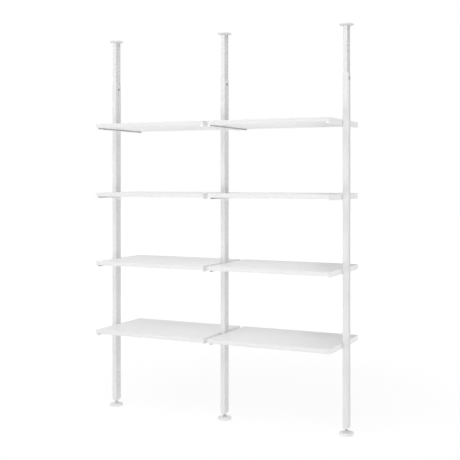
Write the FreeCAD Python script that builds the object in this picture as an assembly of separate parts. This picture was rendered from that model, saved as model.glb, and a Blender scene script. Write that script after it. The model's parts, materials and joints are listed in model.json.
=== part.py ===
import FreeCAD, Part
import math
import os

# Shelf unit held between floor and ceiling by three telescoping posts.
# Two bays of shelves hook into slotted post sides on folded steel brackets.
# Millimetres. X runs along the unit, -Y is the front, Z is up.
# The origin is on the floor below the middle post.

# Layout
bay_count = 2
shelf_count = 4
bay_pitch = 830.0
lowest_shelf_height = 558.0
top_shelf_drop = 280.0

# Lower post: rolled steel tube with a column of slots down each side
post_width = 30.0
post_depth = 57.0
post_wall = 1.0
post_radius = 1.2
post_length = 2134.0
post_ground_gap = 48.0
slot_width = 3.0
slot_height = 12.0
slot_pitch = 32.0
first_slot_rise = 22.0
slot_screw_gap = 14.0

# Upper tube: slides in the post, a wide channel down each side clears hooks and screw
tube_gap = 0.9
tube_wall = 1.2
tube_rise = 287.0
tube_overlap = 1120.0
channel_width = 44.0
channel_clearance = 4.7

# Collar at the top of the post
collar_flange = 2.5
collar_skirt = 12.0
collar_clearance = 0.3

# Guide shoe in the lower end of the upper tube
shoe_height = 16.0
shoe_boss_height = 24.0
shoe_clearance = 0.3
boss_clearance = 0.15

# Ceiling pad
ceiling_pad_diameter = 87.0
ceiling_pad_height = 11.0
ceiling_rim_height = 6.5
ceiling_hub_diameter = 62.0
ceiling_boss_height = 24.0
ceiling_chamfer = 2.0

# Clamp screw and its threaded insert
clamp_drop = 32.0
insert_flange_diameter = 17.0
insert_flange_height = 1.2
insert_barrel_diameter = 11.0
screw_diameter = 8.0
screw_head_diameter = 13.5
screw_head_height = 4.0
screw_head_round = 2.2
screw_socket_width = 5.0
screw_socket_depth = 2.8
screw_tip_gap = 0.3
thread_clearance = 0.1

# Foot: end plug in the post, threaded stem, round pad
plug_depth = 40.0
plug_clearance = 0.15
plug_flange = 3.0
plug_nose_height = 9.0
plug_nose_width = 24.0
stem_diameter = 16.0
stem_above_plug = 5.0
stem_pin_diameter = 10.0
stem_pin_length = 8.0
stem_pin_end_gap = 0.5
stem_hex_width = 22.0
stem_hex_height = 9.0
foot_pad_diameter = 87.0
foot_pad_height = 15.0
foot_pad_hub_diameter = 30.0
foot_pad_dish = 0.6
foot_pad_top_chamfer = 2.0
foot_pad_low_chamfer = 1.2

# Rubber sole under the foot pad, and the same disc as liner on the ceiling pad
sole_diameter = 72.0
sole_thickness = 2.5
sole_proud = 0.8
sole_clearance = 0.2

# Folded bracket under each shelf end
sheet = 2.0
bend_radius = 1.0
bracket_gap = 0.4
rail_width = 18.0
rail_height = 9.0
flap_gap = 0.5
web_top_drop = 1.0
hook_below_top = 8.0
hook_back_gap = 0.3
hook_thickness = 2.5
hook_drop = 5.0
hook_play = 0.5
window_margin = 1.0
hook_plate_width = 44.0
hook_plate_margin = 3.0
hook_plate_chamfer = 5.0
pin_diameter = 6.0
pin_shoulder_diameter = 10.0
pin_height = 8.0
pin_inset = 110.0

# Shelf board
shelf_depth = 510.0
shelf_thickness = 26.0
shelf_end_gap = 0.3
shelf_chamfer = 1.0
pin_clearance = 0.3

# Edge cover on the outer side of the right-hand post
cover_projection = 9.0
cover_depth = 26.0
cover_wall = 1.5
cover_screw_gap = 1.5

# Smallest fold radius, and how far cuts run past what they cut
least_radius = 0.4
overrun = 2.0

X_AXIS = FreeCAD.Vector(1, 0, 0)
Z_AXIS = FreeCAD.Vector(0, 0, 1)
POST_NAMES = ["left", "middle", "right"]
BAY_NAMES = ["l", "r"]

# Heights that several pieces share
post_top = post_ground_gap + post_length
tube_top = post_top + tube_rise
tube_bottom = post_top - tube_overlap
clamp_height = post_top - clamp_drop
first_slot = post_ground_gap + first_slot_rise
slot_limit = clamp_height - insert_flange_diameter / 2 - slot_screw_gap
slot_count = int((slot_limit - first_slot) / slot_pitch) + 1

# Sections that fit one another
cavity_width = post_width - 2 * post_wall
cavity_depth = post_depth - 2 * post_wall
tube_width = cavity_width - 2 * tube_gap
tube_depth = cavity_depth - 2 * tube_gap
hook_reach = cavity_width / 2 - hook_back_gap - hook_thickness
channel_floor = hook_reach - channel_clearance
boss_width = 2 * (channel_floor - tube_wall - boss_clearance)
boss_depth = tube_depth - 2 * (tube_wall + boss_clearance)
recess_radius = sole_diameter / 2 + sole_clearance
liner_low = tube_top + ceiling_pad_height - sole_thickness


def inset_radius(inset):
    """Corner radius of a section that lies inset inside the post's outline."""
    return max(post_radius - inset, least_radius)


def vector(x, y, z):
    return FreeCAD.Vector(x, y, z)


def block(x_low, x_high, y_low, y_high, z_low, z_high):
    """Rectangular block between two corners."""
    corner = vector(x_low, y_low, z_low)
    return Part.makeBox(x_high - x_low, y_high - y_low, z_high - z_low, corner)


def upright_bar(width, depth, radius, z_low, z_high):
    """Bar on the Z axis whose upright edges are rounded."""
    bar = block(-width / 2, width / 2, -depth / 2, depth / 2, z_low, z_high)
    upright = [e for e in bar.Edges if abs(e.tangentAt(e.FirstParameter).z) > 0.5]
    return bar.makeFillet(radius, upright)


def prism(points, direction):
    """Closed outline pushed along a direction."""
    outline = Part.makePolygon(points + points[:1])
    return Part.Face(outline).extrude(direction)


def hexagon(across_flats, z_low, z_high):
    """Upright hexagonal bar."""
    radius = across_flats / math.sqrt(3)
    points = []
    for corner in range(6):
        angle = math.radians(60 * corner)
        points.append(vector(radius * math.cos(angle), radius * math.sin(angle), z_low))
    return prism(points, vector(0, 0, z_high - z_low))


def turned(outline):
    """Solid turned about the Z axis from points given as radius and height."""
    points = [vector(radius, 0, z) for radius, z in outline]
    profile = Part.Face(Part.makePolygon(points + points[:1]))
    return profile.revolve(vector(0, 0, 0), Z_AXIS, 360)


def upright_cylinder(diameter, z_low, z_high):
    return Part.makeCylinder(diameter / 2, z_high - z_low, vector(0, 0, z_low), Z_AXIS)


def cross_cylinder(diameter, x_low, x_high):
    """Cylinder along X at the height of the clamp screw."""
    start = vector(x_low, 0, clamp_height)
    return Part.makeCylinder(diameter / 2, x_high - x_low, start, X_AXIS)


def side_channels(floor, width, z_low, z_high):
    """Two blocks that cut a channel of the given floor down both X sides."""
    reach = post_width
    return [
        block(floor, reach, -width / 2, width / 2, z_low, z_high),
        block(-reach, -floor, -width / 2, width / 2, z_low, z_high),
    ]


def slot_height_at(index):
    """Height of the middle of a slot."""
    return first_slot + index * slot_pitch


def shelf_slots():
    """Slot that carries the upper hook of each shelf, lowest shelf first."""
    lowest = round((lowest_shelf_height - hook_below_top - first_slot) / slot_pitch)
    top_height = post_top - top_shelf_drop
    highest = round((top_height - hook_below_top - first_slot) / slot_pitch)
    steps = shelf_count - 1
    return [lowest + round((highest - lowest) * k / steps) for k in range(shelf_count)]


def make_post():
    outer = upright_bar(post_width, post_depth, post_radius, post_ground_gap, post_top)
    inner = upright_bar(cavity_width, cavity_depth, inset_radius(post_wall),
                        post_ground_gap - overrun, post_top + overrun)
    reach = post_width / 2 + overrun
    cuts = [inner]
    for index in range(slot_count):
        middle = slot_height_at(index)
        cuts.append(block(-reach, reach, -slot_width / 2, slot_width / 2,
                          middle - slot_height / 2, middle + slot_height / 2))
    cuts.append(cross_cylinder(insert_barrel_diameter, 0, reach))
    return outer.cut(cuts)


def make_tube():
    outer = upright_bar(tube_width, tube_depth, inset_radius(post_wall + tube_gap),
                        tube_bottom, tube_top)
    outer = outer.cut(side_channels(channel_floor, channel_width,
                                    tube_bottom - overrun, tube_top + overrun))
    inner = upright_bar(tube_width - 2 * tube_wall, tube_depth - 2 * tube_wall,
                        inset_radius(post_wall + tube_gap + tube_wall),
                        tube_bottom - overrun, tube_top + overrun)
    inner = inner.cut(side_channels(channel_floor - tube_wall, channel_width + 2 * tube_wall,
                                    tube_bottom - 2 * overrun, tube_top + 2 * overrun))
    return outer.cut(inner)


def make_collar():
    """Guide at the top of the post, whose passage follows the tube's section into its channels."""
    flange = upright_bar(post_width, post_depth, post_radius, post_top, post_top + collar_flange)
    skirt = upright_bar(cavity_width, cavity_depth, inset_radius(post_wall),
                        post_top - collar_skirt, post_top)
    gap = 2 * collar_clearance
    passage_low = post_top - collar_skirt - overrun
    passage_high = post_top + collar_flange + overrun
    passage = upright_bar(tube_width + gap, tube_depth + gap,
                          inset_radius(post_wall + tube_gap - collar_clearance),
                          passage_low, passage_high)
    passage = passage.cut(side_channels(channel_floor + collar_clearance, channel_width - gap,
                                        passage_low - overrun, passage_high + overrun))
    return flange.fuse(skirt).removeSplitter().cut(passage)


def make_shoe():
    gap = 2 * shoe_clearance
    guide = upright_bar(cavity_width - gap, cavity_depth - gap,
                        inset_radius(post_wall + shoe_clearance),
                        tube_bottom - shoe_height, tube_bottom)
    guide = guide.cut(side_channels(channel_floor, channel_width,
                                    tube_bottom - shoe_height - overrun, tube_bottom + overrun))
    boss = block(-boss_width / 2, boss_width / 2, -boss_depth / 2, boss_depth / 2,
                 tube_bottom, tube_bottom + shoe_boss_height)
    return guide.fuse(boss).removeSplitter()


def make_ceiling_pad():
    top = tube_top + ceiling_pad_height - sole_proud
    rim = ceiling_pad_diameter / 2
    hub = ceiling_hub_diameter / 2
    pad = turned([
        (0, tube_top),
        (hub, tube_top),
        (rim, top - ceiling_rim_height),
        (rim, top - ceiling_chamfer),
        (rim - ceiling_chamfer, top),
        (recess_radius, top),
        (recess_radius, liner_low),
        (0, liner_low),
    ])
    boss = block(-boss_width / 2, boss_width / 2, -boss_depth / 2, boss_depth / 2,
                 tube_top - ceiling_boss_height, tube_top)
    return pad.fuse(boss).removeSplitter()


def make_insert():
    face = post_width / 2
    flange = cross_cylinder(insert_flange_diameter, face, face + insert_flange_height)
    barrel = cross_cylinder(insert_barrel_diameter, hook_reach, face)
    bore = cross_cylinder(screw_diameter, hook_reach - overrun,
                          face + insert_flange_height + overrun)
    return flange.fuse(barrel).removeSplitter().cut(bore)


def make_clamp_screw():
    seat = post_width / 2 + insert_flange_height
    top = seat + screw_head_height
    head = cross_cylinder(screw_head_diameter, seat, top)
    rim = [e for e in head.Edges if abs(e.CenterOfMass.x - top) < least_radius]
    head = head.makeFillet(screw_head_round, rim)
    shank = cross_cylinder(screw_diameter - 2 * thread_clearance,
                           channel_floor + screw_tip_gap, seat)
    socket = hexagon(screw_socket_width, -screw_socket_depth, overrun)
    socket.rotate(vector(0, 0, 0), vector(0, 1, 0), 90)
    socket.translate(vector(top, 0, clamp_height))
    return head.fuse(shank).removeSplitter().cut(socket)


def make_foot_plug():
    gap = 2 * plug_clearance
    body = upright_bar(cavity_width - gap, cavity_depth - gap,
                       inset_radius(post_wall + plug_clearance),
                       post_ground_gap, post_ground_gap + plug_depth)
    flange_low = post_ground_gap - plug_flange
    flange = upright_bar(post_width, post_depth, post_radius, flange_low, post_ground_gap)
    nose_low = flange_low - plug_nose_height
    tip = plug_nose_width / 2
    nose = Part.makeWedge(-cavity_width / 2, -plug_nose_height, -cavity_depth / 2, -tip, -tip,
                          cavity_width / 2, 0, cavity_depth / 2, tip, tip)
    nose.rotate(vector(0, 0, 0), X_AXIS, -90)
    nose.translate(vector(0, 0, nose_low))
    bore = upright_cylinder(stem_diameter + 2 * thread_clearance, nose_low - overrun,
                            post_ground_gap + plug_depth + overrun)
    return body.fuse([flange, nose]).removeSplitter().cut(bore)


def make_foot_stem():
    hex_top = foot_pad_height + stem_hex_height
    rod_top = post_ground_gap + plug_depth + stem_above_plug
    collar = hexagon(stem_hex_width, foot_pad_height, hex_top)
    rod = upright_cylinder(stem_diameter, hex_top, rod_top)
    pin = upright_cylinder(stem_pin_diameter, foot_pad_height - stem_pin_length, foot_pad_height)
    return collar.fuse([rod, pin]).removeSplitter()


def make_foot_pad():
    rim = foot_pad_diameter / 2
    shoulder = foot_pad_height - foot_pad_dish
    pad = turned([
        (0, sole_thickness),
        (recess_radius, sole_thickness),
        (recess_radius, sole_proud),
        (rim - foot_pad_low_chamfer, sole_proud),
        (rim, sole_proud + foot_pad_low_chamfer),
        (rim, shoulder - foot_pad_top_chamfer),
        (rim - foot_pad_top_chamfer, shoulder),
        (foot_pad_hub_diameter / 2, foot_pad_height),
        (0, foot_pad_height),
    ])
    socket_low = foot_pad_height - stem_pin_length - stem_pin_end_gap
    socket = upright_cylinder(stem_pin_diameter + 2 * thread_clearance, socket_low,
                              foot_pad_height + overrun)
    return pad.cut(socket)


def edges_along_y(shape, places):
    """Edges of a shape that run along Y at the given places in X and Z."""
    found = []
    for edge in shape.Edges:
        middle = edge.CenterOfMass
        if abs(edge.tangentAt(edge.FirstParameter).y) > 0.5:
            found += [edge for x, z in places if math.hypot(middle.x - x, middle.z - z) < least_radius]
    return found


def bracket_hook(slot_middle):
    """Hook that rests on a slot's lower edge and drops behind the post wall."""
    wall_back = cavity_width / 2 - hook_back_gap
    web = post_width / 2 + bracket_gap
    low = slot_middle - slot_height / 2
    high = slot_middle - hook_play
    half = sheet / 2
    outline = [(web, low), (wall_back, low), (wall_back, low - hook_drop),
               (hook_reach, low - hook_drop), (hook_reach, high), (web, high)]
    return prism([vector(x, -half, z) for x, z in outline], vector(0, sheet, 0))


def hook_window(slot_middle):
    """Window beside a hook, where its tongue was cut and bent out of the web."""
    web = post_width / 2 + bracket_gap
    low = slot_middle - slot_height / 2 - hook_drop
    length = web - hook_reach + window_margin
    return block(web - overrun, web + sheet + overrun, sheet / 2, sheet / 2 + length,
                 low, slot_middle - hook_play)


def pin_line():
    """Distance of the pins from the middle of the post, half way along the flange."""
    return post_width / 2 + bracket_gap + (sheet + rail_width) / 2


def locating_pin(x, y, low, bed):
    """Riveted pin: its shoulder carries the board, its end locates it."""
    seat = low + sheet
    shoulder = Part.makeCylinder(pin_shoulder_diameter / 2, bed - seat, vector(x, y, seat), Z_AXIS)
    shank = Part.makeCylinder(pin_diameter / 2, bed + pin_height - low, vector(x, y, low), Z_AXIS)
    return shoulder.fuse(shank)


def make_bracket(slot):
    """Folded bracket for the shelf end on the +X side of a post at X zero."""
    shelf_top = slot_height_at(slot) + hook_below_top
    bed = shelf_top - shelf_thickness
    low = bed - rail_height
    web = post_width / 2 + bracket_gap
    inner = web + rail_width
    outline = [
        (web, shelf_top - web_top_drop),
        (web, low),
        (inner, low),
        (inner, low + sheet),
        (web + sheet, low + sheet),
        (web + sheet, shelf_top - web_top_drop),
    ]
    front = -shelf_depth / 2
    rail = prism([vector(x, front, z) for x, z in outline], vector(0, shelf_depth, 0))
    rail = rail.makeFillet(bend_radius + sheet, edges_along_y(rail, outline[1:2]))
    rail = rail.makeFillet(bend_radius, edges_along_y(rail, outline[4:5]))
    plate_low = slot_height_at(slot - 1) - slot_height / 2 - hook_drop - hook_plate_margin
    half = hook_plate_width / 2
    corner = half - hook_plate_chamfer
    plate_outline = [(-half, bed), (-half, plate_low + hook_plate_chamfer), (-corner, plate_low),
                     (corner, plate_low), (half, plate_low + hook_plate_chamfer), (half, bed)]
    added = [prism([vector(web, y, z) for y, z in plate_outline], vector(sheet, 0, 0))]
    for side in (-1, 1):
        ends = sorted((side * shelf_depth / 2, side * (shelf_depth / 2 - sheet)))
        added.append(block(web + sheet + flap_gap, inner, ends[0], ends[1], low, bed))
        added.append(locating_pin(pin_line(), side * (shelf_depth / 2 - pin_inset), low, bed))
    hooks = [bracket_hook(slot_height_at(slot)), bracket_hook(slot_height_at(slot - 1))]
    windows = [hook_window(slot_height_at(slot)), hook_window(slot_height_at(slot - 1))]
    return rail.fuse(added).cut(windows).fuse(hooks).removeSplitter()


def make_shelf(slot):
    """Board for one bay, centred on X zero, with blind holes over the brackets' pins."""
    top = slot_height_at(slot) + hook_below_top
    bed = top - shelf_thickness
    half_length = (bay_pitch - post_width) / 2 - bracket_gap - sheet - shelf_end_gap
    half_depth = shelf_depth / 2
    board = block(-half_length, half_length, -half_depth, half_depth, bed, top)
    flat = [e for e in board.Edges if abs(e.tangentAt(e.FirstParameter).z) < 0.5]
    board = board.makeChamfer(shelf_chamfer, flat)
    hole_line = bay_pitch / 2 - pin_line()
    holes = []
    for end in (-1, 1):
        for side in (-1, 1):
            start = vector(end * hole_line, side * (half_depth - pin_inset), bed - overrun)
            holes.append(Part.makeCylinder(pin_diameter / 2 + pin_clearance,
                                           overrun + pin_height + pin_clearance, start, Z_AXIS))
    return board.cut(holes)


def make_cover():
    """Hollow strip on the outer side of a post, flush with its front, notched at the clamp screw."""
    low = post_ground_gap
    face = post_width / 2
    outer_face = face + cover_projection
    front = -post_depth / 2
    back = front + cover_depth
    outer = block(face, outer_face, front, back, low, post_top)
    hollow = block(face - overrun, outer_face - cover_wall, front + cover_wall, back - cover_wall,
                   low + cover_wall, post_top - cover_wall)
    notch = insert_flange_diameter / 2 + cover_screw_gap
    opening = block(face - overrun, outer_face + overrun, front + cover_wall, back + overrun,
                    clamp_height - notch, clamp_height + notch)
    return outer.cut([hollow, opening])


def placed(shape, x):
    moved = shape.copy()
    moved.translate(vector(x, 0, 0))
    return moved


def mirrored(shape):
    return shape.mirror(vector(0, 0, 0), X_AXIS)


def save(name, shape):
    shape.exportStep(os.path.join("parts", name + ".step"))


os.makedirs("parts", exist_ok=True)

post_places = [(index - bay_count / 2) * bay_pitch for index in range(bay_count + 1)]
column_pieces = {
    "post": make_post(),
    "tube": make_tube(),
    "collar": make_collar(),
    "shoe": make_shoe(),
    "ceiling_pad": make_ceiling_pad(),
    "clamp_screw": make_clamp_screw(),
    "foot_plug": make_foot_plug(),
    "foot_stem": make_foot_stem(),
    "foot_pad": make_foot_pad(),
    "foot_sole": upright_cylinder(sole_diameter, 0, sole_thickness),
    "ceiling_liner": upright_cylinder(sole_diameter, liner_low, liner_low + sole_thickness),
}
for post_name, x in zip(POST_NAMES, post_places):
    for piece_name, shape in column_pieces.items():
        save(piece_name + "_" + post_name, placed(shape, x))

insert = make_insert()
save("clamp_inserts", Part.Compound([placed(insert, x) for x in post_places]))
save("edge_cover", placed(make_cover(), post_places[-1]))

for level, slot in enumerate(shelf_slots(), 1):
    bracket = make_bracket(slot)
    other_bracket = mirrored(bracket)
    board = make_shelf(slot)
    for bay, bay_name in enumerate(BAY_NAMES):
        tag = bay_name + str(level)
        start = post_places[bay]
        end = post_places[bay + 1]
        save("shelf_" + tag, placed(board, (start + end) / 2))
        save("bracket_" + tag + "_left", placed(bracket, start))
        save("bracket_" + tag + "_right", placed(other_bracket, end))
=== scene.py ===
import json
import math

import bmesh
import bpy
from mathutils import Matrix, Vector


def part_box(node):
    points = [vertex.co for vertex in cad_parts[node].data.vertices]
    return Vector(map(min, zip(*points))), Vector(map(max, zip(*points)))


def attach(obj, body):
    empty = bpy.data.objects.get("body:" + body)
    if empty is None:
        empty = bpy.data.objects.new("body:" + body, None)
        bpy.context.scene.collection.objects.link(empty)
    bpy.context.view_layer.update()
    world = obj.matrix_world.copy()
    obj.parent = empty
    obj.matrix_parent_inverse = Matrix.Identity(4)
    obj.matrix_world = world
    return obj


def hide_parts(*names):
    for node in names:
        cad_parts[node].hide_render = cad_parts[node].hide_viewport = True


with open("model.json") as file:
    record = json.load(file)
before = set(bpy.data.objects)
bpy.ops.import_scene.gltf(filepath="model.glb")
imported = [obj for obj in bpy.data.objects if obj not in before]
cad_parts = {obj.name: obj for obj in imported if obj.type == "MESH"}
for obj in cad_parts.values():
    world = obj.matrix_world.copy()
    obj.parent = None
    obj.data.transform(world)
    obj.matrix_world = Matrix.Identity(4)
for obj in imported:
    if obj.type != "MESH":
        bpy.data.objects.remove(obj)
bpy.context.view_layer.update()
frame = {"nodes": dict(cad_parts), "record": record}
nodes = frame["nodes"]

# Three-post shelf unit held between floor and ceiling, all in white.
# Metres. X runs along the unit, -Y is the front, Z is up, the floor is at zero.
# A rounding in brackets is its size and its number of steps.

POSTS = ["left", "middle", "right"]
SHELVES = ["l1", "l2", "l3", "l4", "r1", "r2", "r3", "r4"]

# Photograph's frame and viewpoint
IMAGE_SIDE = 460
FOCAL_PIXELS = 861.73
MIDDLE_PIXEL = (284.54, 177.86)
CAMERA_PLACE = (2.5871, -4.9127, 1.5502)
CAMERA_TILT = math.radians(90)
CAMERA_TURN = math.radians(23.795)
CAMERA_REACH = 100
SENSOR = 36.0

# Shelf boards
BOARD_ROUND = 0.0010
BOARD_ROUND_STEPS = 4
EDGING_LINE = 0.0011
EDGING_GROOVE = 0.00025
PIN_HOLE_RADIUS = 0.0033
PIN_HOLE_DEPTH = 0.0083
PIN_HOLE_FACETS = 32
PIN_HOLE_PLACES = [(x, y) for x in (-0.3896, 0.3896) for y in (-0.145, 0.145)]

# Foot pads, and the recess that ceiling pads have too
PAD_FACETS = 96
PAD_TOP_ROUND = (0.0022, 6)
PAD_LOW_ROUND = (0.0013, 4)
PAD_RISE = 0.0006
PAD_HUB_RADIUS = 0.0150
PAD_HUB_ROUND = (0.0010, 2)
SOLE_RECESS_RADIUS = 0.0362
SOLE_RECESS_DEPTH = 0.0017
PIN_SOCKET_RADIUS = 0.0050
PIN_SOCKET_DEPTH = 0.0085

# Ceiling pads and the plugs that go into the tubes
CEILING_HUB_RADIUS = 0.0310
CEILING_HUB_DEPTH = 0.0037
CEILING_HUB_ROUND = (0.0008, 2)
CEILING_RIM_HEIGHT = 0.0065
CEILING_RIM_ROUND = (0.0018, 4)
PLUG_WIDTH = 0.0102
PLUG_DEPTH = 0.0504
PLUG_ROUND = 0.0010
PLUG_ROUND_STEPS = 2

# Foot stems. The thread's V goes out by shares of its depth and up by shares of its pitch.
THREAD_PITCH = 0.0020
THREAD_RADIUS = 0.0080
THREAD_DEPTH = 0.0011
THREAD_PROFILE = [(0, 0.12), (1, 0.36), (0, 0.16), (-1, 0.36)]
THREAD_STEPS = 28
THREAD_SEED = 0.001
THREAD_HIDDEN_TURNS = 2
HEX_SIDES = 6
HEX_TURN = (0, 0, math.radians(30))
HEX_HEIGHT = 0.0090
HEX_WIDTH = 0.0220
HEX_CHAMFER = (0.0012, 1)
HEX_SEAT_GAP = 0.0001
HEX_TURNED_FACETS = 64
HEX_TURNED_OVERRUN = 0.00001
PIN_GAP = 0.0001
PIN_ROUND = (0.0006, 2)
PIN_FACETS = 32

# Clamp screws
SCREW_HEAD_RADIUS = 0.00675
SCREW_HEAD_HEIGHT = 0.0040
SCREW_HEAD_ROUND = (0.0022, 4)
SCREW_SHANK_RADIUS = 0.0039
SCREW_TIP_CHAMFER = (0.0007, 1)
SCREW_SOCKET_WIDTH = 0.0050
SCREW_SOCKET_DEPTH = 0.0028
SCREW_FACETS = 64
ALONG_X = (0, math.radians(90), 0)

# Edge cover
COVER_ROUND = (0.0030, 5)
COVER_WALL = 0.0015
COVER_NOTCH = 0.0100

# How near counts as the same place, and how straight a face looks along an axis
SAME_PLACE = 0.00005
SAME_RING = 0.0002
SAME_POINT = 0.00001
NEAR_MIDDLE = 0.01
FACING = 0.9
FLAT = 0.999
LEVEL = 0.5

# Angle in degrees up to which faces shade as one surface
SMOOTH_BOARD = 35
SMOOTH_PAD = 40
SMOOTH_METAL = 30

# White floor: tones, glow, its share close to the unit, and where it fades into the backdrop
FLOOR_SIZE = 60
FLOOR_TONES = (0.94, 0.96)
FLOOR_GLOW = 1.05
FLOOR_SHARE = 0.75
FLOOR_NEAR = 1.5
FLOOR_FAR = 4.0

# Grey card that the sheen mirrors to the right of the board middles
CARD_MIDDLE = (4.14, 6.30, 2.25)
CARD_SIZE = (12.0, 1.0, 4.5)
CARD_TONE = 0.114

# Even light all round, and lamps: name, place, target, size, power, and whether gloss sees it
DOME_STRENGTH = 0.544
LAMPS = [
    ("left softbox", (-6.0, -1.5, 2.0), (0, 0, 1.3), (4.0, 4.0), 32, True),
    ("right softbox", (8.0, 0.5, 1.2), (0, 0, 1.2), (3.0, 2.2), 58, True),
    ("right back softbox", (6.0, 5.0, 1.2), (0, 0, 1.2), (3.0, 2.2), 62, True),
    ("front softbox", (0, -4.5, 5.0), (0, 0, 1.3), (6.0, 3.0), 118, True),
    ("overhead softbox", (0, -0.5, 6.0), (0, 0, 1.3), (6.0, 4.0), 42, True),
    ("low fill", (0, -4.5, 0.5), (0, 0, 1.6), (6.0, 0.9), 58, True),
    ("back softbox", (0, 6.0, 2.0), (0, 0, 1.3), (6.0, 4.0), 70, False),
]

# Colour sockets of a Mix node
MIX_DARK = 6
MIX_LIGHT = 7
MIX_RESULT = 2


class Signal:
    """An output of a material's nodes. Sums and products of signals add Math nodes."""

    def __init__(self, tree, socket=None):
        self.tree = tree
        self.socket = socket

    def node(self, kind, settings=None, inputs=None, output=0):
        """Adds a node: its settings first, then the values or links of its sockets."""
        made = self.tree.nodes.new(kind)
        for name, value in (settings or {}).items():
            setattr(made, name, value)
        for name, value in (inputs or {}).items():
            if isinstance(value, Signal):
                self.tree.links.new(value.socket, made.inputs[name])
            else:
                made.inputs[name].default_value = value
        return Signal(self.tree, made.outputs[output] if made.outputs else None)

    def math(self, operation, first, second=0.0):
        return self.node("ShaderNodeMath", {"operation": operation}, {0: first, 1: second})

    def __add__(self, other):
        return self.math("ADD", self, other)

    def __radd__(self, other):
        return self.math("ADD", other, self)

    def __sub__(self, other):
        return self.math("SUBTRACT", self, other)

    def __rsub__(self, other):
        return self.math("SUBTRACT", other, self)

    def __mul__(self, other):
        return self.math("MULTIPLY", self, other)

    def __rmul__(self, other):
        return self.math("MULTIPLY", other, self)

    def clamped(self):
        """This signal held between zero and one."""
        return self.math("MINIMUM", self.math("MAXIMUM", self, 0.0), 1.0)

    def blend(self, dark, light):
        """Colour between two colours, by this signal."""
        return self.node("ShaderNodeMix", {"data_type": "RGBA"},
                         {"Factor": self, MIX_DARK: dark, MIX_LIGHT: light}, MIX_RESULT)

    def noise(self, place, scale, detail=2.0, roughness=0.5):
        return self.node("ShaderNodeTexNoise", {}, {
            "Vector": place, "Scale": scale, "Detail": detail, "Roughness": roughness})

    def stretched(self, place, scale):
        return self.node("ShaderNodeMapping", {}, {"Vector": place, "Scale": scale})


def grey(value, warmth=0.0):
    """Grey as a colour, a little warm or cool."""
    return (value * (1 + warmth), value, value * (1 - warmth), 1.0)


def empty_material(name):
    """Node material with nothing in it yet, and its start signal."""
    material = bpy.data.materials.new(name)
    material.use_nodes = True
    material.node_tree.nodes.clear()
    return material, Signal(material.node_tree)


def new_material(name):
    """Empty node material, its start signal and its object coordinates."""
    material, start = empty_material(name)
    place = start.node("ShaderNodeTexCoord", output="Object")
    return material, start, place


def close_material(start, constants, colour, roughness, height, depth):
    """Principled shader with a bump, joined to the material's output."""
    bump = start.node("ShaderNodeBump", {}, {
        "Strength": 1.0, "Distance": depth, "Height": height})
    inputs = {"Base Color": colour, "Roughness": roughness, "Normal": bump}
    inputs.update(constants)
    shader = start.node("ShaderNodeBsdfPrincipled", {}, inputs)
    start.node("ShaderNodeOutputMaterial", {}, {"Surface": shader})


def powder_coat(name, tone):
    """Satin white powder coat: orange peel, and a sheen that changes a little along the steel."""
    material, start, place = new_material(name)
    peel = start.noise(place, scale=620.0, detail=3.0, roughness=0.55)
    cloud = start.noise(place, scale=9.0, detail=3.0)
    speck = start.noise(place, scale=2600.0, detail=1.0)
    colour = (cloud * 0.85 + peel * 0.15).blend(grey(tone * 0.99), grey(tone * 1.008))
    roughness = 0.40 + 0.08 * cloud + 0.05 * peel
    height = peel + 0.25 * speck
    close_material(start, {"IOR": 1.5}, colour, roughness, height, depth=0.00002)
    return material


def board_foil(name, tone, sheen):
    """White foil pressed on board: a very fine grain along the board and a quiet cloud."""
    material, start, place = new_material(name)
    along = start.stretched(place, (1.0, 7.0, 7.0))
    grain = start.noise(along, scale=260.0, detail=4.0, roughness=0.6)
    cloud = start.noise(place, scale=5.0, detail=2.0)
    tooth = start.noise(place, scale=1900.0, detail=2.0, roughness=0.6)
    colour = (cloud * 0.6 + grain * 0.4).blend(grey(tone * 0.984), grey(tone * 1.01))
    roughness = sheen + 0.08 * grain + 0.05 * cloud
    height = tooth + 0.6 * grain
    close_material(start, {"IOR": 1.48}, colour, roughness, height, depth=0.00003)
    return material


def moulded_plastic(name, tone):
    """White moulded plastic with the fine grain of an eroded mould."""
    material, start, place = new_material(name)
    grain = start.noise(place, scale=1500.0, detail=3.0, roughness=0.65)
    cloud = start.noise(place, scale=30.0, detail=2.0)
    colour = cloud.blend(grey(tone * 0.985), grey(tone * 1.01))
    roughness = 0.46 + 0.10 * grain + 0.05 * cloud
    close_material(start, {"IOR": 1.49}, colour, roughness, grain, depth=0.00006)
    return material


def zinc_plate(name, tone, metal):
    """Zinc plating: dull spangle, turned marks, cool where dark and warm where light."""
    material, start, place = new_material(name)
    spangle = start.node("ShaderNodeTexVoronoi", {"feature": "F1"}, {
        "Vector": place, "Scale": 420.0})
    around = start.stretched(place, (1.0, 1.0, 9.0))
    turned = start.noise(around, scale=500.0, detail=3.0, roughness=0.6)
    colour = (spangle * 0.5 + turned * 0.5).blend(
        grey(tone * 0.8, warmth=-0.012), grey(tone * 1.15, warmth=0.008))
    roughness = 0.30 + 0.16 * turned + 0.06 * spangle
    close_material(start, {"Metallic": metal}, colour, roughness, turned, depth=0.00004)
    return material


def sole_rubber(name, tone):
    """Pale grey rubber with a fine grain and a little dust."""
    material, start, place = new_material(name)
    grain = start.noise(place, scale=900.0, detail=3.0, roughness=0.6)
    dust = start.noise(place, scale=60.0, detail=3.0)
    colour = dust.blend(grey(tone * 0.92, warmth=0.004), grey(tone * 1.05, warmth=0.004))
    roughness = 0.74 + 0.14 * grain
    close_material(start, {"IOR": 1.52}, colour, roughness, grain, depth=0.00012)
    return material


def begin_piece():
    """Deselects everything, so that operators act on the new piece alone."""
    bpy.ops.object.select_all(action="DESELECT")


def edit_piece():
    """Opens the active piece in edit mode."""
    bpy.ops.object.mode_set(mode="EDIT")
    return bpy.context.edit_object


def end_edit():
    bpy.ops.object.mode_set(mode="OBJECT")


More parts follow.
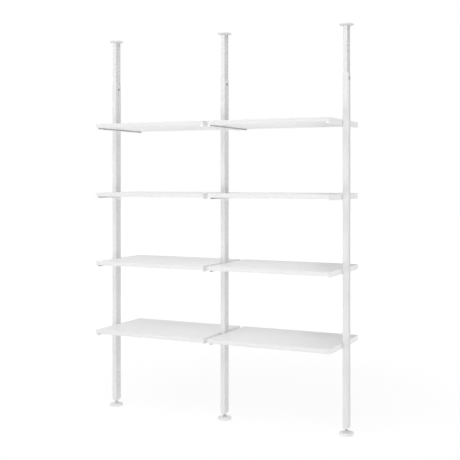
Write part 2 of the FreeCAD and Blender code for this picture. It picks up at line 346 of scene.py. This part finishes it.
def apply_place():
    """Moves a new piece's place, turn and size into its mesh."""
    bpy.ops.object.transform_apply(location=True, rotation=True, scale=True)


def select_faces(test):
    """Selects the faces of the piece in edit mode whose middle and normal pass a test."""
    bpy.ops.mesh.select_mode(type="FACE")
    bpy.ops.mesh.select_all(action="DESELECT")
    mesh = bmesh.from_edit_mesh(bpy.context.edit_object.data)
    for face in mesh.faces:
        if test(face.calc_center_median(), face.normal):
            face.select_set(True)
    bmesh.update_edit_mesh(bpy.context.edit_object.data)


def select_edges(test):
    """Selects the edges of the piece in edit mode whose two ends both pass a test."""
    bpy.ops.mesh.select_mode(type="EDGE")
    bpy.ops.mesh.select_all(action="DESELECT")
    mesh = bmesh.from_edit_mesh(bpy.context.edit_object.data)
    for edge in mesh.edges:
        if all(test(corner.co) for corner in edge.verts):
            edge.select_set(True)
    bmesh.update_edit_mesh(bpy.context.edit_object.data)


def near(a, b, slack=SAME_PLACE):
    return abs(a - b) < slack


def push(value):
    """Extrudes what is selected and moves it."""
    bpy.ops.mesh.extrude_region_move(TRANSFORM_OT_translate={"value": value})


def round_edges(size, steps):
    """Rounds the selected edges. One step makes a chamfer."""
    bpy.ops.mesh.bevel(offset=size, segments=steps, affect="EDGES")


def round_ring(radius, height, rounding):
    """Rounds the edges of an upright ring of the given radius and height."""
    select_edges(lambda p: near(math.hypot(p.x, p.y), radius, SAME_RING) and near(p.z, height))
    round_edges(*rounding)


def activate(piece):
    """Makes a piece the only selected one, and the active one."""
    begin_piece()
    piece.select_set(True)
    bpy.context.view_layer.objects.active = piece


def smooth(piece, degrees):
    activate(piece)
    bpy.ops.object.shade_smooth_by_angle(angle=math.radians(degrees))


def cut_with(piece, cutter, operation):
    """Applies a Boolean of the piece with a cutter and removes the cutter."""
    activate(piece)
    modifier = piece.modifiers.new("cut", "BOOLEAN")
    modifier.operation = operation
    modifier.solver = "EXACT"
    modifier.object = cutter
    bpy.ops.object.modifier_apply(modifier=modifier.name)
    bpy.data.objects.remove(cutter)


def join_pieces(first, others):
    """Joins other pieces into the first."""
    begin_piece()
    for piece in [first] + others:
        piece.select_set(True)
    bpy.context.view_layer.objects.active = first
    bpy.ops.object.join()
    return first


def dress(piece, name, body, materials, replaced):
    """Names a finished piece, gives it its finish and sets it on its body.
    With no materials it keeps those that it has."""
    piece.name = name
    piece.data.name = name
    if materials:
        piece.data.materials.clear()
        for material in materials:
            piece.data.materials.append(material)
    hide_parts(*replaced)
    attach(piece, body)


def copy_to(piece, move):
    """Copy of a piece with its own mesh, moved in its mesh."""
    copy = piece.copy()
    copy.data = piece.data.copy()
    copy.data.transform(Matrix.Translation(move))
    bpy.context.scene.collection.objects.link(copy)
    return copy


def node_move(from_node, to_node):
    """How far apart two equal nodes are."""
    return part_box(to_node)[0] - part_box(from_node)[0]


def model_board():
    """Shelf board: edging round all four sides, parted from the foil by a fine line.
    Blind holes below take the brackets' pins."""
    low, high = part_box("shelf_l1")
    middle_x = (low.x + high.x) / 2
    begin_piece()
    bpy.ops.mesh.primitive_cube_add(size=1, location=(low + high) / 2, scale=high - low)
    apply_place()
    board = edit_piece()
    bpy.ops.mesh.select_all(action="SELECT")
    round_edges(BOARD_ROUND, BOARD_ROUND_STEPS)
    select_faces(lambda p, n: abs(n.z) > FLAT and abs(p.x - middle_x) < NEAR_MIDDLE)
    bpy.ops.mesh.inset(thickness=EDGING_LINE)
    bpy.ops.mesh.inset(thickness=EDGING_GROOVE, depth=-EDGING_GROOVE)
    bpy.ops.mesh.inset(thickness=EDGING_GROOVE, depth=EDGING_GROOVE)
    end_edit()
    for x, y in PIN_HOLE_PLACES:
        begin_piece()
        bpy.ops.mesh.primitive_cylinder_add(
            vertices=PIN_HOLE_FACETS, radius=PIN_HOLE_RADIUS, depth=2 * PIN_HOLE_DEPTH,
            location=(middle_x + x, y, low.z))
        apply_place()
        cut_with(board, bpy.context.active_object, "DIFFERENCE")
    smooth(board, SMOOTH_BOARD)
    return board


def paint_edging(board):
    """Gives the second finish to the faces outside the edging line."""
    low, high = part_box("shelf_l1")
    line = BOARD_ROUND + EDGING_LINE
    for face in board.data.polygons:
        inside = low.x + line < face.center.x < high.x - line
        inside = inside and low.y + line < face.center.y < high.y - line
        # Level faces inside the line take the lighter foil and the rest take the darker edging.
        # The tone gap is partly painted light.
        face.material_index = 0 if inside and abs(face.normal.z) > LEVEL else 1


def model_foot_pad():
    """Round pad: top slightly raised to a hub, rounded rim, a recess below for the sole."""
    low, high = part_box("foot_pad_middle")
    radius = (high.x - low.x) / 2
    shoulder = high.z - PAD_RISE
    begin_piece()
    bpy.ops.mesh.primitive_cylinder_add(
        vertices=PAD_FACETS, radius=radius, depth=shoulder - low.z,
        location=(0, 0, (shoulder + low.z) / 2))
    apply_place()
    pad = edit_piece()
    select_faces(lambda p, n: n.z > FACING)
    bpy.ops.mesh.inset(thickness=radius - PAD_HUB_RADIUS, depth=PAD_RISE)
    bpy.ops.mesh.inset(thickness=PAD_HUB_RADIUS - PIN_SOCKET_RADIUS)
    push((0, 0, -PIN_SOCKET_DEPTH))
    select_faces(lambda p, n: n.z < -FACING and near(p.z, low.z))
    bpy.ops.mesh.inset(thickness=radius - SOLE_RECESS_RADIUS)
    push((0, 0, SOLE_RECESS_DEPTH))
    round_ring(radius, shoulder, PAD_TOP_ROUND)
    round_ring(radius, low.z, PAD_LOW_ROUND)
    round_ring(PAD_HUB_RADIUS, high.z, PAD_HUB_ROUND)
    end_edit()
    smooth(pad, SMOOTH_PAD)
    return pad


def model_ceiling_pad():
    """Round pad on the tube's end: tapered hub below, rounded rim, a recess for the liner.
    A plug under the hub goes into the tube."""
    low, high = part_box("ceiling_pad_middle")
    radius = (high.x - low.x) / 2
    rim_low = high.z - CEILING_RIM_HEIGHT
    hub_low = rim_low - CEILING_HUB_DEPTH
    begin_piece()
    bpy.ops.mesh.primitive_cylinder_add(
        vertices=PAD_FACETS, radius=radius, depth=high.z - rim_low,
        location=(0, 0, (high.z + rim_low) / 2))
    apply_place()
    pad = edit_piece()
    select_faces(lambda p, n: n.z < -FACING)
    bpy.ops.mesh.inset(thickness=radius - CEILING_HUB_RADIUS, depth=CEILING_HUB_DEPTH)
    select_faces(lambda p, n: n.z > FACING)
    bpy.ops.mesh.inset(thickness=radius - SOLE_RECESS_RADIUS)
    push((0, 0, -SOLE_RECESS_DEPTH))
    round_ring(radius, high.z, CEILING_RIM_ROUND)
    round_ring(radius, rim_low, CEILING_RIM_ROUND)
    round_ring(CEILING_HUB_RADIUS, hub_low, CEILING_HUB_ROUND)
    end_edit()
    plug_height = hub_low - low.z + PLUG_ROUND
    begin_piece()
    bpy.ops.mesh.primitive_cube_add(
        size=1, location=(0, 0, low.z + plug_height / 2),
        scale=(PLUG_WIDTH, PLUG_DEPTH, plug_height))
    apply_place()
    plug = edit_piece()
    select_edges(lambda p: near(p.z, low.z))
    round_edges(PLUG_ROUND, PLUG_ROUND_STEPS)
    end_edit()
    cut_with(pad, plug, "UNION")
    smooth(pad, SMOOTH_PAD)
    return pad


def model_thread(low, high):
    """Threaded rod on the Z axis, from one V of the thread wound upwards.
    The V starts as a small plane that is merged into one point."""
    root = THREAD_RADIUS - THREAD_DEPTH
    turns = int((high - low) / THREAD_PITCH) - 1
    begin_piece()
    bpy.ops.mesh.primitive_plane_add(size=THREAD_SEED, location=(root, 0, low))
    apply_place()
    rod = edit_piece()
    bpy.ops.mesh.select_mode(type="VERT")
    bpy.ops.mesh.select_all(action="SELECT")
    bpy.ops.mesh.merge(type="CENTER")
    bpy.ops.mesh.select_all(action="SELECT")
    for out, up in THREAD_PROFILE:
        bpy.ops.mesh.extrude_vertices_move(
            TRANSFORM_OT_translate={"value": (out * THREAD_DEPTH, 0, up * THREAD_PITCH)})
    end_edit()
    winding = rod.modifiers.new("winding", "SCREW")
    winding.axis = "Z"
    winding.angle = 2 * math.pi
    winding.screw_offset = THREAD_PITCH
    winding.iterations = turns
    winding.steps = THREAD_STEPS
    winding.render_steps = THREAD_STEPS
    bpy.ops.object.modifier_apply(modifier=winding.name)
    edit_piece()
    bpy.ops.mesh.select_all(action="SELECT")
    bpy.ops.mesh.remove_doubles(threshold=SAME_POINT)
    bpy.ops.mesh.select_mode(type="EDGE")
    bpy.ops.mesh.select_all(action="DESELECT")
    bpy.ops.mesh.select_non_manifold()
    bpy.ops.mesh.edge_face_add()
    bpy.ops.mesh.select_all(action="SELECT")
    bpy.ops.mesh.normals_make_consistent(inside=False)
    end_edit()
    return rod


def model_foot_stem():
    """Threaded stem with a chamfered hexagon to turn it by and a plain pin below."""
    low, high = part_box("foot_stem_middle")
    hex_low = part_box("foot_pad_middle")[1].z + HEX_SEAT_GAP
    hex_high = hex_low + HEX_HEIGHT
    corner = HEX_WIDTH / math.sqrt(3)
    middle = (0, 0, (hex_low + hex_high) / 2)
    begin_piece()
    bpy.ops.mesh.primitive_cylinder_add(
        vertices=HEX_SIDES, radius=corner, depth=HEX_HEIGHT, location=middle,
        rotation=HEX_TURN)
    apply_place()
    collar = bpy.context.active_object
    turned_radius = corner + 2 * HEX_TURNED_OVERRUN
    begin_piece()
    bpy.ops.mesh.primitive_cylinder_add(
        vertices=HEX_TURNED_FACETS, radius=turned_radius,
        depth=HEX_HEIGHT + 2 * HEX_TURNED_OVERRUN, location=middle)
    apply_place()
    turned = edit_piece()
    for height in (hex_low - HEX_TURNED_OVERRUN, hex_high + HEX_TURNED_OVERRUN):
        round_ring(turned_radius, height, HEX_CHAMFER)
    end_edit()
    cut_with(collar, turned, "INTERSECT")
    pin_radius = PIN_SOCKET_RADIUS - PIN_GAP
    begin_piece()
    bpy.ops.mesh.primitive_cylinder_add(
        vertices=PIN_FACETS, radius=pin_radius, depth=hex_low - low.z,
        location=(0, 0, (low.z + hex_low) / 2))
    apply_place()
    pin = edit_piece()
    round_ring(pin_radius, low.z, PIN_ROUND)
    end_edit()
    rod = model_thread(hex_high - THREAD_HIDDEN_TURNS * THREAD_PITCH, high.z)
    stem = join_pieces(collar, [pin, rod])
    smooth(stem, SMOOTH_METAL)
    return stem


def model_clamp_screw():
    """Socket-head screw along X, with a rounded head and a shank into the insert."""
    low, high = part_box("clamp_screw_middle")
    height = (low.z + high.z) / 2
    seat = high.x - SCREW_HEAD_HEIGHT
    begin_piece()
    bpy.ops.mesh.primitive_cylinder_add(
        vertices=SCREW_FACETS, radius=SCREW_HEAD_RADIUS, depth=SCREW_HEAD_HEIGHT,
        location=((seat + high.x) / 2, 0, height), rotation=ALONG_X)
    apply_place()
    screw = edit_piece()
    select_faces(lambda p, n: n.x < -FACING)
    bpy.ops.mesh.inset(thickness=SCREW_HEAD_RADIUS - SCREW_SHANK_RADIUS)
    push((low.x - seat, 0, 0))
    select_edges(lambda p: near(p.x, high.x))
    round_edges(*SCREW_HEAD_ROUND)
    select_edges(lambda p: near(p.x, low.x))
    round_edges(*SCREW_TIP_CHAMFER)
    end_edit()
    begin_piece()
    bpy.ops.mesh.primitive_cylinder_add(
        vertices=HEX_SIDES, radius=SCREW_SOCKET_WIDTH / math.sqrt(3),
        depth=2 * SCREW_SOCKET_DEPTH, location=(high.x, 0, height), rotation=ALONG_X)
    apply_place()
    cut_with(screw, bpy.context.active_object, "DIFFERENCE")
    smooth(screw, SMOOTH_METAL)
    return screw


def model_edge_cover():
    """Hollow cover strip down the right-hand post's outer side, notched round the clamp screw."""
    low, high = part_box("edge_cover")
    screw_low, screw_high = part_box("clamp_screw_right")
    begin_piece()
    bpy.ops.mesh.primitive_cube_add(size=1, location=(low + high) / 2, scale=high - low)
    apply_place()
    strip = edit_piece()
    select_edges(lambda p: near(p.x, high.x))
    round_edges(*COVER_ROUND)
    select_faces(lambda p, n: n.x < -FACING)
    bpy.ops.mesh.inset(thickness=COVER_WALL)
    push((high.x - low.x - COVER_WALL, 0, 0))
    end_edit()
    notch_middle = (
        (low.x + high.x) / 2,
        (low.y + high.y) / 2 + COVER_WALL,
        (screw_low.z + screw_high.z) / 2,
    )
    notch_size = (2 * (high.x - low.x), high.y - low.y, 2 * COVER_NOTCH)
    begin_piece()
    bpy.ops.mesh.primitive_cube_add(size=1, location=notch_middle, scale=notch_size)
    apply_place()
    cut_with(strip, bpy.context.active_object, "DIFFERENCE")
    smooth(strip, SMOOTH_BOARD)
    return strip


def add_area(name, place, target, size, power, mirrored):
    """Large soft lamp at a place, turned to a target, and seen in gloss or not."""
    lamp = bpy.data.lights.new(name, "AREA")
    lamp.shape = "RECTANGLE"
    lamp.size, lamp.size_y = size
    lamp.energy = power
    holder = bpy.data.objects.new(name, lamp)
    holder.location = place
    direction = Vector(target) - Vector(place)
    holder.rotation_euler = direction.to_track_quat("-Z", "Y").to_euler()
    holder.visible_camera = False
    holder.visible_glossy = mirrored
    bpy.context.scene.collection.objects.link(holder)


def seen_directly(start):
    """One for rays from the camera, from gloss and through glass, which see the white backdrop."""
    camera = start.node("ShaderNodeLightPath", output="Is Camera Ray")
    glossy = start.node("ShaderNodeLightPath", output="Is Glossy Ray")
    through = start.node("ShaderNodeLightPath", output="Is Transmission Ray")
    return camera.math("MAXIMUM", camera, camera.math("MAXIMUM", glossy, through))


def make_world():
    """White backdrop, and an even dome of light at its own strength."""
    world = bpy.data.worlds.new("studio")
    world.use_nodes = True
    world.node_tree.nodes.clear()
    start = Signal(world.node_tree)
    strength = seen_directly(start) * (1.0 - DOME_STRENGTH) + DOME_STRENGTH
    background = start.node("ShaderNodeBackground", {}, {
        "Color": grey(1.0), "Strength": strength})
    start.node("ShaderNodeOutputWorld", {}, {"Surface": background})
    bpy.context.scene.world = world


def make_floor():
    """Wide pale floor that keeps the unit's soft shadow and fades into the white backdrop."""
    material, start, place = new_material("studio floor")
    cloud = start.noise(place, scale=0.8, detail=2.0)
    dark, light = FLOOR_TONES
    paint = start.node("ShaderNodeBsdfDiffuse", {}, {
        "Color": cloud.blend(grey(dark), grey(light))})
    white = start.node("ShaderNodeEmission", {}, {"Color": grey(1.0), "Strength": FLOOR_GLOW})
    away = start.node("ShaderNodeVectorMath", {"operation": "LENGTH"}, {0: place}, "Value")
    fade = ((away - FLOOR_NEAR) * (1.0 / (FLOOR_FAR - FLOOR_NEAR))).clamped()
    share = FLOOR_SHARE + (1.0 - FLOOR_SHARE) * fade
    surface = start.node("ShaderNodeMixShader", {}, {
        "Fac": seen_directly(start) * share, 1: paint, 2: white})
    start.node("ShaderNodeOutputMaterial", {}, {"Surface": surface})
    begin_piece()
    bpy.ops.mesh.primitive_plane_add(size=FLOOR_SIZE, location=(0, 0, 0))
    floor = bpy.context.active_object
    floor.name = "floor"
    floor.data.materials.append(material)


def make_card():
    """Grey card beyond the unit on the right, out of the picture and seen in gloss alone."""
    material, start = empty_material("studio card")
    glow = start.node("ShaderNodeEmission", {}, {"Color": grey(CARD_TONE), "Strength": 1.0})
    start.node("ShaderNodeOutputMaterial", {}, {"Surface": glow})
    upright = (math.radians(90), 0, 0)
    begin_piece()
    bpy.ops.mesh.primitive_plane_add(size=1, location=CARD_MIDDLE, rotation=upright)
    bpy.ops.transform.resize(value=CARD_SIZE)
    apply_place()
    card = bpy.context.active_object
    card.name = "card"
    card.data.materials.append(material)
    card.visible_camera = False
    card.visible_diffuse = False
    card.visible_transmission = False
    card.visible_shadow = False


def make_camera():
    """Level camera at the photograph's viewpoint, with its framing as shift."""
    camera = bpy.data.cameras.new("camera")
    camera.sensor_fit = "HORIZONTAL"
    camera.sensor_width = SENSOR
    camera.lens = FOCAL_PIXELS / IMAGE_SIDE * SENSOR
    camera.shift_x = (IMAGE_SIDE / 2 - MIDDLE_PIXEL[0]) / IMAGE_SIDE
    camera.shift_y = (MIDDLE_PIXEL[1] - IMAGE_SIDE / 2) / IMAGE_SIDE
    camera.clip_end = CAMERA_REACH
    holder = bpy.data.objects.new("camera", camera)
    holder.location = CAMERA_PLACE
    holder.rotation_euler = (CAMERA_TILT, 0, CAMERA_TURN)
    bpy.context.scene.collection.objects.link(holder)
    bpy.context.scene.camera = holder


post_coat = powder_coat("white powder coat on posts", tone=0.715)
# The brackets take a lighter copy of the posts' powder coat. This is painted light: their ends
# facing right read lit, while the posts' sides facing the same way read shaded.
bracket_coat_painted_lighter = powder_coat("white powder coat on brackets, painted lighter", tone=0.868)
# The foil on the boards' level faces is lighter than the edging on their sides. The edging is its
# own strip with its own sheen. The gap in tone is painted light and shade: tops and undersides
# lighter, sides darker.
foil = board_foil("white board foil", tone=0.875, sheen=0.34)
edging = board_foil("white board edging", tone=0.713, sheen=0.36)
plastic = moulded_plastic("white moulded plastic", tone=0.85)
pad_plastic = moulded_plastic("white plastic of ceiling pads", tone=0.68)
foot_plastic = moulded_plastic("white plastic of foot pads", tone=0.80)
cover_plastic = moulded_plastic("white cover plastic", tone=0.710)
# The stems' zinc is a lighter, less metallic copy of the screws' zinc. This is painted light, so
# that the stems in the shade under the posts read lighter.
zinc = zinc_plate("zinc on stems, painted lighter", tone=0.62, metal=0.25)
screw_zinc = zinc_plate("bright zinc on screws", tone=0.40, metal=1.0)
rubber = sole_rubber("grey rubber", tone=0.55)

node_finishes = {
    "steel_white": post_coat,
    "board_white": foil,
    "plastic_white": plastic,
    "zinc": zinc,
    "rubber": rubber,
}
for subpart in frame["record"]["subparts"]:
    node = nodes[subpart["node"]]
    finish = node_finishes[subpart["material_slot"]]
    # Brackets get the lighter copy of the coat, which is painted light.
    if node.name.startswith("bracket_"):
        finish = bracket_coat_painted_lighter
    node.data.materials.clear()
    node.data.materials.append(finish)

first_board = model_board()
first_board.data.materials.clear()
first_board.data.materials.append(foil)
first_board.data.materials.append(edging)
paint_edging(first_board)
for tag in SHELVES:
    piece = copy_to(first_board, node_move("shelf_l1", "shelf_" + tag))
    dress(piece, "board_" + tag, "frame", [], ["shelf_" + tag])
bpy.data.objects.remove(first_board)

post_pieces = [
    ("foot_pad", "pad_floor", model_foot_pad(), "foot", "plastic_white", foot_plastic),
    ("ceiling_pad", "pad_ceiling", model_ceiling_pad(), "telescope", "plastic_white", pad_plastic),
    # The stems take the lighter copy of the zinc, which is painted light.
    ("foot_stem", "threaded_stem", model_foot_stem(), "stem", "zinc", zinc),
    ("clamp_screw", "socket_screw", model_clamp_screw(), "clamp", "zinc", screw_zinc),
]
for node_name, piece_name, first, body, slot, finish in post_pieces:
    for post in POSTS:
        replaced = node_name + "_" + post
        piece = copy_to(first, node_move(node_name + "_middle", replaced))
        dress(piece, piece_name + "_" + post, body + "_" + post, [finish], [replaced])
    bpy.data.objects.remove(first)

dress(model_edge_cover(), "cover_strip", "frame", [cover_plastic], ["edge_cover"])

make_floor()
make_card()
make_world()
for lamp in LAMPS:
    add_area(*lamp)
make_camera()
bpy.context.scene.view_settings.view_transform = "Standard"
